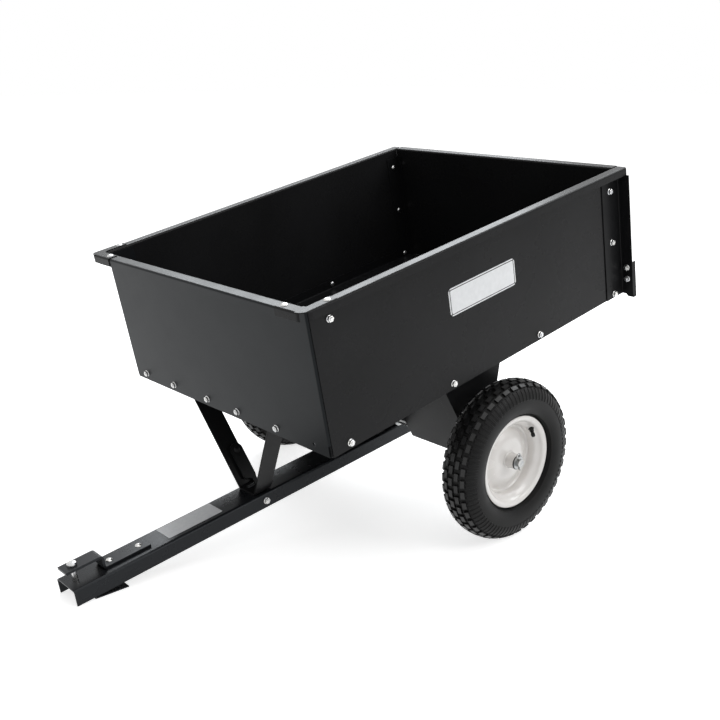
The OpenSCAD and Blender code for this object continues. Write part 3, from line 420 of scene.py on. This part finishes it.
def tyreOutline():
    edges = sorted(x for row in tyre["rows"] for x in row if x > 0)
    crown = [(x, crownRadius(x)) for x in edges]
    wall = [wallPoint(angle) for angle in tyre["wallAngles"]]
    wall = [p for p in wall if p[1] < crown[-1][1] - 1]
    side = crown + wall + [p for p in tyre["beadRib"] if p[1] < wall[-1][1] - 0.5]
    heelX, heelUp = tyre["heelOut"]
    side += [(heelX, tyre["heel"] + heelUp), (tyre["beadHalf"], tyre["heel"]), (tyre["beadHalf"], tyre["bead"])]
    return [(-x, r) for x, r in reversed(side)] + side


# the moulded blocks shine more than the carcass, and their slightly lighter base colour is a painted highlight
def shineBlocks(obj):
    obj.data.materials.append(treadRubber)
    obj.data.materials.append(blockGlossAndPaintedHighlight)
    for face in obj.data.polygons:
        x, y, z = (1000 * v for v in face.center)
        above = math.hypot(y, z) - crownRadius(x) if abs(x) < tyre["rows"][-1][1] else 0
        face.material_index = 1 if above > tyre["blockShare"] * tyre["blockHeight"] else 0


def tyrePiece():
    points = tyreOutline()
    steps = tyre["blocks"] * tyre["stepsPerBlock"]
    obj = turned(points, "tyre", steps, closed=True)
    stepAngle = 2 * math.pi / steps

    def raised(centre, turn, pitch, slot):
        index = int(math.floor(math.atan2(centre.y, centre.z) / stepAngle + 1e-4)) + steps
        return (index + turn) % pitch < pitch - slot

    openMesh(obj)
    for (low, high), turn in zip(tyre["rows"], tyre["rowTurn"]):
        def onRow(centre, normal):
            x = 1000 * (centre.x if low < 0 else abs(centre.x))
            return (low < x < high and 1000 * math.hypot(centre.y, centre.z) > tyre["rowsAbove"]
                    and raised(centre, turn, tyre["stepsPerBlock"], tyre["slotSteps"]))
        selectFaces(obj, onRow)
        bpy.ops.mesh.inset(thickness=0.001 * tyre["blockSlope"], depth=0.001 * tyre["blockHeight"],
                           use_even_offset=False)

    def onRib(centre, normal):
        radius = 1000 * math.hypot(centre.y, centre.z)
        return (tyre["ribs"][0] < radius < tyre["ribs"][1] and 1000 * abs(centre.x) > tyre["ribFoot"]
                and raised(centre, tyre["ribTurn"], tyre["ribSteps"], 1))
    selectFaces(obj, onRib)
    bpy.ops.mesh.inset(thickness=0.001 * tyre["ribSlope"], depth=0.001 * tyre["ribHeight"], use_even_offset=False)
    closeMesh()
    smooth(obj, 32)
    shineBlocks(obj)
    return obj


leftTyre = tyrePiece()
rightTyre = copyOf(leftTyre)
wheelPlaces = {
    "left": Matrix.Translation((cart["track"] / 2, cart["axle"][1], cart["axle"][2])),
    "right": Matrix.Translation((-cart["track"] / 2, cart["axle"][1], cart["axle"][2]))
    @ Matrix.Diagonal((-1, 1, 1, 1)),
}
for side, obj in (("left", leftTyre), ("right", rightTyre)):
    settle(obj, wheelPlaces[side])
    hand(obj, side + "_tyre_knobbed", side + "_wheel", [], [side + "_tyre"])
print("tyres done:", len(leftTyre.data.polygons), "faces each")


# wheels: barrel and dished disc turned as thin sheet, then thickened

wheel = {
    "sheet": 2.6,
    "barrel": [(30.9, 115.4), (31.3, 113.0), (30.6, 108.0), (29.0, 103.6), (26.0, 101.2), (22.5, 99.6),
               (18.0, 94.0), (14.2, 89.6), (10.5, 87.6), (0, 87.3), (-10.5, 87.6), (-14.2, 89.6),
               (-18.0, 94.0), (-22.5, 99.6), (-26.0, 101.2), (-29.0, 103.6), (-30.6, 108.0),
               (-31.3, 113.0), (-30.9, 115.4)],
    "disc": [(-3.5, 86.2), (-6.6, 84.4), (-7.7, 81.0), (-6.8, 76.5), (-3.5, 70.0), (1.5, 61.5), (5.0, 54.5),
             (6.9, 48.0), (7.6, 40.0), (7.7, 28.0), (7.7, 18.4)],
    "weld": [(9.0, 17.9), (11.6, 18.2), (10.9, 19.8), (9.0, 21.2)],
    "steps": 72,
}


def rimPiece():
    barrel = turned(wheel["barrel"], "barrel", wheel["steps"])
    disc = turned(wheel["disc"], "disc", wheel["steps"])
    for obj in (barrel, disc):
        modify(obj, "SOLIDIFY", thickness=0.001 * wheel["sheet"], offset=0, use_even_offset=True)
        modify(obj, "SUBSURF", levels=1, render_levels=1)
        openMesh(obj, everything=True)
        bpy.ops.mesh.normals_make_consistent(inside=False)
        closeMesh()
    weld = turned(wheel["weld"], "weld", wheel["steps"], closed=True)
    obj = joined([barrel, disc, weld], "rim")
    smooth(obj, 40)
    return obj


valve = {
    "seat": (18.2, 93.8), "lean": 43.2, "turn": 45,   # place on the barrel's slope, in mm and degrees
    "steps": 28, "knurl": (16.5, 23.5), "knurlTurn": 12.86, "merge": 0.00006,
    "outline": [(-1.5, nearAxis), (-1.5, 6.6), (0.9, 7.2), (2.0, 6.6), (2.6, 5.6), (8.6, 5.3), (10.4, 4.6), (12.0, 3.8),
                (16.0, 3.7), (16.2, 4.5), (17.0, 4.9), (23.2, 4.9), (24.8, 4.5), (25.8, 3.2), (26.0, nearAxis)],
}


def valvePiece():
    obj = turned(valve["outline"], "valve", valve["steps"])
    sealed(obj, valve["merge"])
    low, high = valve["knurl"]

    def onKnurl(centre, normal):
        turns = math.degrees(math.atan2(centre.y, centre.z)) // valve["knurlTurn"]
        return low < 1000 * centre.x < high and int(turns) % 2 == 0

    openMesh(obj)
    selectFaces(obj, onKnurl)
    bpy.ops.mesh.inset(thickness=0.0001, depth=-0.0004)
    closeMesh()
    smooth(obj, 40)
    along, radius = valve["seat"]
    settle(obj, Matrix.Rotation(-math.radians(valve["turn"]), 4, "X")
           @ shifted((along, 0, radius))
           @ Matrix.Rotation(math.radians(valve["lean"]), 4, "Y"))
    return obj


leftRim = rimPiece()
leftValve = valvePiece()
wheelCopies = [("left", leftRim, leftValve), ("right", copyOf(leftRim), copyOf(leftValve))]
for side, rim, stem in wheelCopies:
    settle(rim, wheelPlaces[side])
    hand(rim, side + "_rim_pressed", side + "_wheel", [wheelEnamel], [side + "_rim"])
    settle(stem, wheelPlaces[side])
    hand(stem, side + "_valve_stem", side + "_wheel", [valveRubber], [side + "_valve"])
    easedCopy(side + "_hub", side + "_wheel", wheelEnamel, 0.0008)
    easedCopy(side + "_bushes", side + "_wheel", bushPlastic, 0.0003)
print("rims, valves and hubs done")


# axle hardware keeps its solids, with eased edges

for node in ("axle", "axle_collars", "left_axle_spacer", "right_axle_spacer", "left_axle_washer",
             "right_axle_washer", "left_split_pin", "right_split_pin", "lever_spacer"):
    easedCopy(node, "tub", axleZinc, 0.0004)


# bolts: one round-headed bolt and flanged nut modelled once, then set in each place

bolt = {
    "shank": 4.0, "head": 8.0, "headHeight": 4.0, "nut": 7.5, "nutHeight": 6.0, "end": 3.0,
    "flange": 8.3, "flangeHeight": 1.3, "cone": 0.4, "pitch": 1.25, "steps": 24,
    "threadDepth": 0.45, "sunk": 0.6, "turnEach": 0.7,   # each nut stops at another angle, in radians
}


def headShape():
    r, h = bolt["head"], bolt["headHeight"]
    dome = [(0, nearAxis), (0, r), (-0.7, r * 0.985), (-1.7, r * 0.89), (-2.7, r * 0.70), (-3.5, r * 0.44),
            (-h + 0.1, r * 0.2), (-h, nearAxis)]
    return turned(dome, "head", bolt["steps"])


def nutShape():
    clearSelection()
    height = bolt["nutHeight"] - bolt["flangeHeight"]
    bpy.ops.mesh.primitive_cylinder_add(vertices=6, radius=0.001 * bolt["nut"], depth=0.001 * height,
                                        location=(0, 0, 0.0005 * height + 0.001 * bolt["flangeHeight"]))
    nut = bpy.context.object
    bpy.ops.object.transform_apply(location=True, rotation=True, scale=True)
    openMesh(nut)
    selectFaces(nut, lambda c, n: n.z > 0.9)
    bpy.ops.mesh.inset(thickness=0.0009, depth=0.0006)
    selectEdges(nut, lambda a, b: abs(a.z - b.z) > 0.003)
    bpy.ops.mesh.bevel(offset=0.0003, segments=1)
    closeMesh()
    settle(nut, Matrix.Rotation(math.radians(90), 4, "Y"))
    r, h = bolt["flange"], bolt["flangeHeight"]
    cone = h + bolt["cone"]
    foot = [(0, nearAxis), (0, r), (h * 0.6, r), (h, r * 0.93), (cone, r * 0.8), (cone, nearAxis)]
    rim = turned(foot, "flange", bolt["steps"])
    return joined([nut, rim], "nut")


def threadShape(shank, start, length):
    points = [(start - 1, nearAxis), (start - 1, shank)]
    turns = max(2, int(length / bolt["pitch"]))
    for k in range(turns):
        points += [(start + k * bolt["pitch"], shank - bolt["threadDepth"]),
                   (start + (k + 0.5) * bolt["pitch"], shank)]
    top = start + turns * bolt["pitch"]
    points += [(top, shank - 0.5), (top + 0.4, shank - 1.1), (top + 0.4, nearAxis)]
    return turned(points, "thread", bolt["steps"])


def boltShape(name, grip, shank=None):
    shank = shank or bolt["shank"]
    head = headShape()
    nut = nutShape()
    settle(nut, shifted((grip, 0, 0)))
    thread = threadShape(shank, grip + bolt["nutHeight"] - bolt["sunk"], bolt["end"])
    body = turned([(0, nearAxis), (0, shank), (grip, shank), (grip, nearAxis)], "shank", bolt["steps"])
    obj = joined([head, nut, thread, body], name)
    sealed(obj, tipGap)
    smooth(obj, 30)
    return obj


# a bolt lies along +X as it is turned; these swing it to the way its nut faces
facing = {
    "out": Matrix.Identity(4),
    "in": Matrix.Rotation(math.pi, 4, "Z"),
    "front": Matrix.Rotation(-math.pi / 2, 4, "Z"),
    "down": Matrix.Rotation(math.pi / 2, 4, "Y"),
}


def boltRow(node, body, base, places, way, grip, shank=None, finish=None):
    made = boltShape(node, grip, shank)
    copies = [copyOf(made) for _ in places[1:]] + [made]
    for k, (obj, place) in enumerate(zip(copies, places)):
        spin = Matrix.Rotation(bolt["turnEach"] * k, 4, "X")
        settle(obj, base @ shifted(place) @ facing[way] @ spin)
    obj = joined(copies, node)
    return hand(obj, node + "_threaded", body, [finish or boltZinc], [node])


boltPlaces = {
    "front": [(x, -491, 254) for x in (-339.7, -209.4, -61.2, 61.2, 209.4)],   # the sixth hole is open
    "side": [(391, -440.2, 249), (391, -120.7, 249), (391, 191.6, 249), (391, -440.2, 532.5)],
    "post": [(391, 500.4, 245.3), (391, 500.4, 387.2), (391, 500.4, 522.3)],
    "clip": [(s * 413.75, 541.5, z) for z in (277.96, 309.3) for s in (-1, 1)],
    "corner": [(s * x, y, 579) for x, y in ((348.5, -509), (409, -448.5)) for s in (-1, 1)],
    "bracket": [(s * x, y, 237) for x in (132, 309.7) for y in (-120, 120) for s in (-1, 1)],
    "stand": [(s * 134, -456, 237) for s in (-1, 1)],
    "pivot": [(s * 17.75, y, -13) for y in (-28, 28) for s in (-1, 1)],
    "latch": [(-41.5, -456, -37)],
    "hitch": [(0, -788.5, -11), (0, -863.5, -11)],
}


def otherSide(places):
    return [(-x, y, z) for x, y, z in places]


boltRow("front_bolts", "tub", tubFrame, boltPlaces["front"], "front", 4)
boltRow("left_side_bolts", "tub", tubFrame, boltPlaces["side"], "out", 4)
boltRow("right_side_bolts", "tub", tubFrame, otherSide(boltPlaces["side"]), "in", 4)
boltRow("left_post_bolts", "tub", tubFrame, boltPlaces["post"], "out", 6.5)
boltRow("right_post_bolts", "tub", tubFrame, otherSide(boltPlaces["post"]), "in", 6.5)
boltRow("clip_bolts", "tub", tubFrame, boltPlaces["clip"], "front", 5)
boltRow("corner_bolts", "tub", tubFrame, boltPlaces["corner"], "down", 4)
boltRow("bracket_bolts", "tub", tubFrame, boltPlaces["bracket"], "down", 5)
boltRow("stand_bolts", "tub", tubFrame, boltPlaces["stand"], "down", 6)
boltRow("pivot_bracket_bolts", "tongue", tongueFrame, boltPlaces["pivot"], "down", 7)
boltRow("latch_bolt", "tongue", tongueFrame, boltPlaces["latch"], "out", 83, 5)
boltRow("hitch_bolts", "tongue", tongueFrame, boltPlaces["hitch"], "down", 9)

lever = {"foot": (-30, -456, 8.01165), "lean": 29.2501, "rise": 88, "face": 12.3, "middle": 9, "grip": 14.3}
legFrame = (tubFrame @ shifted(lever["foot"])
            @ Matrix.Rotation(-math.radians(lever["lean"]), 4, "Y")
            @ shifted((0, 0, lever["rise"])))
boltRow("lever_pivot_bolt", "tub", legFrame, [(lever["face"], lever["middle"], 0)], "in", lever["grip"],
        finish=boltBlack)
print("bolts done")


# hitch pin: turned, with a rounded head and a pointed end

pin = {
    "place": (0, -948, 20),
    "outline": [(-7.8, nearAxis), (-7.8, 7.6), (-7.2, 9.6), (-5.8, 10.8), (-3.6, 11.05), (-1.2, 10.9), (0, 10.2),
                (0, 6.5), (64.5, 6.5), (66, 6.2), (69.9, 3.9), (69.9, nearAxis)],
}
pinPiece = turned(pin["outline"], "pin", 40)
sealed(pinPiece, tipGap)
smooth(pinPiece, 32)
settle(pinPiece, tongueFrame @ shifted(pin["place"]) @ facing["down"])
hand(pinPiece, "hitch_pin_turned", "hitch_pin", [boltZinc], ["hitch_pin"])


# bare plates where the photo's labels are

plates = {
    "side": {"middle": (395, 8.5, 440), "size": (225, 66), "corner": 9, "border": 3.0, "line": 2.2,
             "thick": 0.7},
    "tongue": {"middle": (-4.5, -647, -17), "size": (59, 150), "corner": 3, "border": 1.5, "line": 0.6,
               "thick": 0.4},
}


def platePiece(spec, name):
    clearSelection()
    bpy.ops.mesh.primitive_cube_add(size=1, location=(0, 0, 0.0005 * spec["thick"]))
    obj = bpy.context.object
    obj.name = name
    obj.scale = (0.001 * spec["size"][0], 0.001 * spec["size"][1], 0.001 * spec["thick"])
    bpy.ops.object.transform_apply(location=True, rotation=True, scale=True)
    openMesh(obj)
    selectEdges(obj, lambda a, b: abs(a.z - b.z) > 0.0001)
    bpy.ops.mesh.bevel(offset=0.001 * spec["corner"], segments=6)
    for thickness, depth in ((spec["border"], 0), (spec["line"], 0.00005)):
        selectFaces(obj, lambda c, n: n.z > 0.9 and abs(c.x) < 0.004 and abs(c.y) < 0.004)
        bpy.ops.mesh.inset(thickness=0.001 * thickness, depth=depth)
    closeMesh()
    return obj


def paintBorder(obj, spec):
    inset = 0.001 * (spec["border"] + 0.02)
    halves = [0.0005 * v for v in spec["size"]]
    top = max(v.co.z for v in obj.data.vertices) - 0.0002
    for face in obj.data.polygons:
        c = face.center
        edge = min(halves[0] - abs(c.x), halves[1] - abs(c.y))
        middle = abs(c.x) < 0.002 and abs(c.y) < 0.002
        face.material_index = 1 if c.z > top and not middle and edge > inset else 0


sidePlate = platePiece(plates["side"], "side_plate")
sidePlate.data.materials.append(plateSilver)
sidePlate.data.materials.append(plateBorder)
paintBorder(sidePlate, plates["side"])
settle(sidePlate, tubFrame @ shifted(plates["side"]["middle"])
       @ Matrix.Rotation(math.pi / 2, 4, "Z") @ Matrix.Rotation(math.pi / 2, 4, "X"))
hand(sidePlate, "bare_side_plate", "tub", [])

tonguePlate = platePiece(plates["tongue"], "tongue_plate")
settle(tonguePlate, tongueFrame @ shifted(plates["tongue"]["middle"]))
hand(tonguePlate, "bare_tongue_plate", "tongue", [stickerPale])
print("plates done")


# studio

studio = {
    "floorSize": 60, "floor": 0.80, "floorGlow": 0.72, "floorWhite": (1.6, 3.0), "world": 0.38,
    "camera": (1.8973, -1.5642, 1.1311), "azimuth": 48.18, "elevation": 16.51, "roll": -0.03, "lens": 50.762,
    "sensor": 36,
    "top": {"place": (0.2, 0.1, 3.2), "size": (3.4, 3.4), "power": 36, "aim": (0, 0, 0.4)},
    "key": {"place": (3.0, 1.3, 2.1), "size": (1.6, 1.6), "power": 30, "aim": (0.3, 0.2, 0.4)},
    "back": {"place": (-2.5, 1.7, 2.75), "size": (2.6, 1.2), "power": 78, "aim": (0, 0, 0.6),
             "colour": (0.93, 0.97, 1.0)},
    "rear": {"place": (0.3, 2.7, 2.8), "size": (3.4, 1.6), "power": 70, "aim": (0, 0, 0.4),
             "colour": (0.95, 0.98, 1.0)},
}


# 1 for what the camera sees, straight or mirrored
def cameraRays(tree):
    paths = tree.nodes.new("ShaderNodeLightPath")
    seen = tree.nodes.new("ShaderNodeMath")
    seen.operation = "MAXIMUM"
    wire(tree, paths, "Is Camera Ray", seen, 0)
    wire(tree, paths, "Is Transmission Ray", seen, 1)
    mirrored = tree.nodes.new("ShaderNodeMath")   # metal and glossy paint mirror the same backdrop
    mirrored.operation = "MAXIMUM"
    tree.links.new(seen.outputs[0], mirrored.inputs[0])
    wire(tree, paths, "Is Glossy Ray", mirrored, 1)
    return mirrored


def studioFloor():
    clearSelection()
    bpy.ops.mesh.primitive_plane_add(size=studio["floorSize"], location=(0, 0, 0))
    floor = bpy.context.object
    floor.name = "studio_floor"
    material = bpy.data.materials.new("white studio floor")
    material.use_nodes = True
    tree = material.node_tree
    tree.nodes.clear()
    matte = tree.nodes.new("ShaderNodeBsdfDiffuse")
    matte.inputs["Color"].default_value = (studio["floor"],) * 3 + (1,)
    glow = tree.nodes.new("ShaderNodeEmission")
    coords = tree.nodes.new("ShaderNodeTexCoord")
    away = tree.nodes.new("ShaderNodeVectorMath")
    away.operation = "LENGTH"
    wire(tree, coords, "Object", away, "Vector")
    brighter = tree.nodes.new("ShaderNodeMapRange")   # pure white away from the cart, shadows kept beside it
    brighter.inputs["From Min"].default_value, brighter.inputs["From Max"].default_value = studio["floorWhite"]
    brighter.inputs["To Min"].default_value = studio["floorGlow"]
    brighter.inputs["To Max"].default_value = 1.0
    wire(tree, away, "Value", brighter, "Value")
    scaled = tree.nodes.new("ShaderNodeMath")
    scaled.operation = "MULTIPLY"
    wire(tree, brighter, "Result", scaled, 1)
    tree.links.new(cameraRays(tree).outputs[0], scaled.inputs[0])
    tree.links.new(scaled.outputs[0], glow.inputs["Strength"])
    total = tree.nodes.new("ShaderNodeAddShader")
    tree.links.new(matte.outputs[0], total.inputs[0])
    tree.links.new(glow.outputs[0], total.inputs[1])
    output = tree.nodes.new("ShaderNodeOutputMaterial")
    tree.links.new(total.outputs[0], output.inputs["Surface"])
    floor.data.materials.append(material)


def studioWorld():
    world = bpy.data.worlds.new("white studio")
    bpy.context.scene.world = world
    world.use_nodes = True
    tree = world.node_tree
    background = tree.nodes["Background"]
    background.inputs["Color"].default_value = (1, 1, 1, 1)
    mix = tree.nodes.new("ShaderNodeMapRange")
    mix.inputs["To Min"].default_value = studio["world"]
    mix.inputs["To Max"].default_value = 1.0
    tree.links.new(cameraRays(tree).outputs[0], mix.inputs["Value"])
    wire(tree, mix, "Result", background, "Strength")


def softbox(name, spec):
    data = bpy.data.lights.new(name, "AREA")
    data.shape = "RECTANGLE"
    data.size, data.size_y = spec["size"]
    data.energy = spec["power"]
    data.color = spec.get("colour", (1, 1, 1))
    lamp = bpy.data.objects.new(name, data)
    bpy.context.scene.collection.objects.link(lamp)
    lamp.location = spec["place"]
    lamp.rotation_euler = (Vector(spec["aim"]) - Vector(spec["place"])).to_track_quat("-Z", "Y").to_euler()


def studioCamera():
    data = bpy.data.cameras.new("photo camera")
    data.sensor_fit = "HORIZONTAL"
    data.sensor_width = studio["sensor"]
    data.lens = studio["lens"]
    camera = bpy.data.objects.new("photo camera", data)
    bpy.context.scene.collection.objects.link(camera)
    a, e = math.radians(studio["azimuth"]), math.radians(studio["elevation"])
    back = Vector((math.sin(a) * math.cos(e), -math.cos(a) * math.cos(e), math.sin(e)))
    right = Vector((math.cos(a), math.sin(a), 0))
    up = back.cross(right)
    turn = Matrix((right, up, back)).transposed().to_4x4() @ Matrix.Rotation(math.radians(studio["roll"]), 4, "Z")
    camera.matrix_world = Matrix.Translation(studio["camera"]) @ turn
    bpy.context.scene.camera = camera


studioFloor()
studioWorld()
for name in ("top", "key", "back", "rear"):
    softbox(name + " softbox", studio[name])
studioCamera()
bpy.context.scene.view_settings.view_transform = "Standard"
print("studio done")
